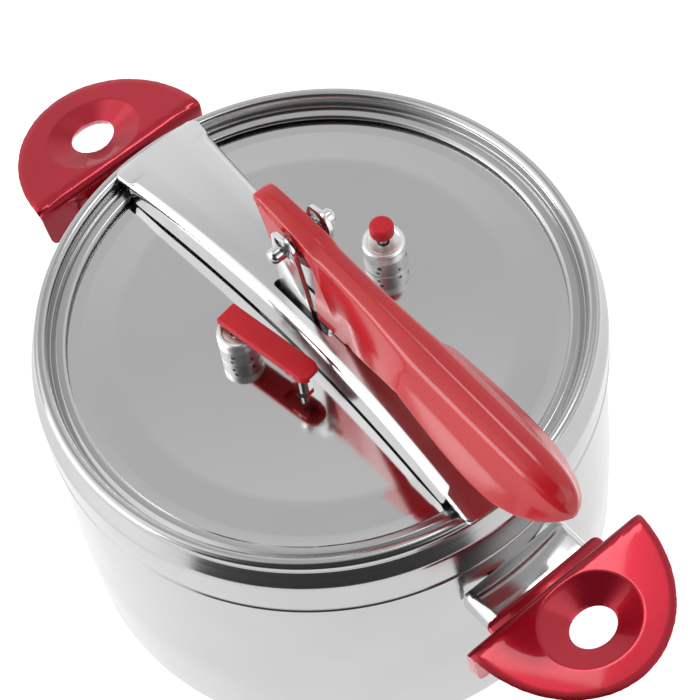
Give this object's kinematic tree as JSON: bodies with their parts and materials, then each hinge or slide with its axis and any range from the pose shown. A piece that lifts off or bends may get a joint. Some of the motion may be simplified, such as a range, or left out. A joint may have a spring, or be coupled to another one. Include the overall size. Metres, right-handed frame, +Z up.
{
  "type": "pressure canner",
  "caption": "Round deep stainless pressure cooker with two red side handles and an inner lid drawn up under the rim by a bridge bar and a red cam lever.",
  "frame": {"origin": "centre of the underside of the pot's base", "axes": "+X along the bridge bar towards the side handle under the lever tip, +Z up through the lid"},
  "size_m": [0.3994, 0.2484, 0.2392],
  "materials": {
    "polished_steel": "mirror-polished stainless steel",
    "brushed_steel": "satin stainless steel",
    "aluminium": "machined aluminium",
    "handle_red": "glossy deep red plastic with a metallic sheen",
    "lever_red": "high-gloss red plastic",
    "signal_red": "bright red moulded plastic",
    "black_rubber": "smooth black rubber",
    "grey_silicone": "matt grey silicone"
  },
  "bodies": {
    "pot": {"pot_body": "polished_steel", "base_core": "aluminium", "base_cap": "polished_steel", "handle_right": "handle_red", "handle_left": "handle_red", "handle_bracket_right": "brushed_steel", "handle_bracket_left": "brushed_steel", "handle_screw_right_1": "brushed_steel", "handle_screw_right_2": "brushed_steel", "handle_screw_left_1": "brushed_steel", "handle_screw_left_2": "brushed_steel", "bridge_bar": "polished_steel"},
    "lid": {"lid_plate": "polished_steel", "lid_gasket": "black_rubber", "pivot_bracket": "brushed_steel", "bracket_rivet_1": "brushed_steel", "bracket_rivet_2": "brushed_steel", "bracket_rivet_3": "brushed_steel", "bracket_rivet_4": "brushed_steel", "pivot_pin": "polished_steel", "safety_valve_body": "aluminium", "safety_valve_nut": "brushed_steel", "safety_valve_seal": "grey_silicone", "safety_spring": "brushed_steel", "working_valve_body": "aluminium", "working_valve_nut": "brushed_steel", "working_valve_seal": "grey_silicone", "working_valve_spring": "brushed_steel", "release_post": "polished_steel", "release_pin": "polished_steel"},
    "lever": {"lever_handle": "lever_red", "lever_cam": "brushed_steel"},
    "release_lever": {"release_lever": "signal_red"},
    "working_stem": {"working_valve_stem": "brushed_steel"},
    "safety_button": {"safety_stem": "brushed_steel", "indicator_button": "signal_red"}
  },
  "joints": [
    {"name": "lid_drop", "type": "slide", "parent": "pot", "child": "lid", "axis": [0, 0, 1], "range_m": [-0.01, 0]},
    {"name": "lever_hinge", "type": "hinge", "parent": "lid", "child": "lever", "pos_m": [0.001, 0, 0.2284], "axis": [0, -1, 0], "range_deg": [0, 90]},
    {"name": "release_lever_hinge", "type": "hinge", "parent": "lid", "child": "release_lever", "pos_m": [0.0205, -0.024, 0.1777], "axis": [-0.1478, 0.989, 0], "range_deg": [0, 60]},
    {"name": "working_stem_slide", "type": "slide", "parent": "lid", "child": "working_stem", "axis": [0, 0, 1], "range_m": [-0.002, 0], "stiffness_N_per_m": 30, "springref_m": 0.003, "deforming": ["working_valve_spring"]},
    {"name": "safety_button_slide", "type": "slide", "parent": "lid", "child": "safety_button", "axis": [0, 0, 1], "range_m": [0, 0.003], "stiffness_N_per_m": 30, "springref_m": -0.002, "deforming": ["safety_spring"]}
  ],
  "couplings": [
    {"joint": "lid_drop", "follows": "lever_hinge", "m_per_rad": -0.006366}
  ]
}
